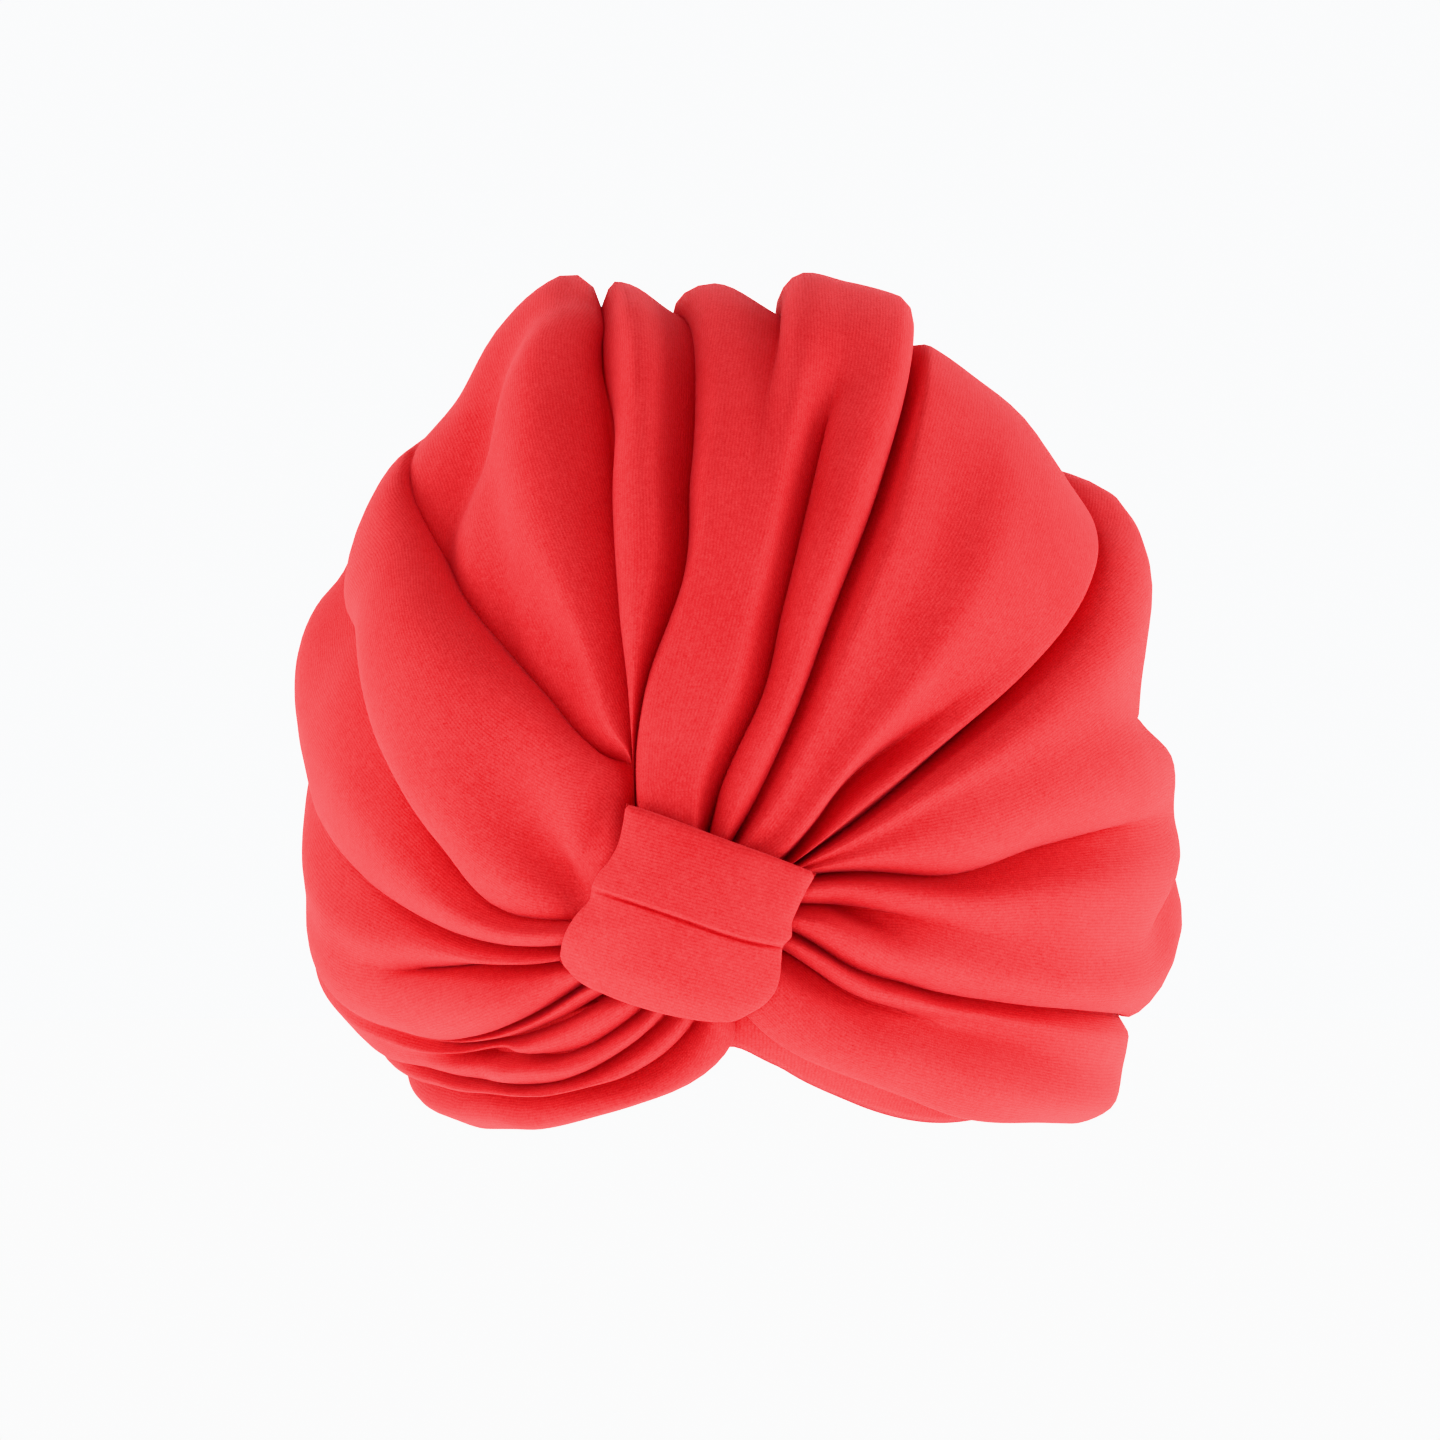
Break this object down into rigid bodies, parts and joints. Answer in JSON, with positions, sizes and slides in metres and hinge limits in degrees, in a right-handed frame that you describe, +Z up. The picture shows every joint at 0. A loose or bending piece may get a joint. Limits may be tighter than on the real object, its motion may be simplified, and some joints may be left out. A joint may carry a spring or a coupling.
{
  "type": "turban headwrap",
  "caption": "Gathered jersey turban: pleated cloth drawn together under a short knot band on the brow, open below for the head.",
  "frame": {"origin": "middle of the head opening, level with the cloth's lowest edge", "axes": "+Z up through the crown, -Y towards the brow where the knot band is, +X to the right as seen from the front"},
  "size_m": [0.2184, 0.2327, 0.21],
  "materials": {
    "red_jersey": "brushed double jersey, soft nap",
    "red_jersey_inside": "brushed double jersey, soft nap",
    "red_jersey_band": "brushed double jersey, soft nap, flat"
  },
  "bodies": {
    "root": {"crown": "red_jersey", "inner_band": "red_jersey_inside", "knot_band": "red_jersey_band"}
  },
  "joints": []
}
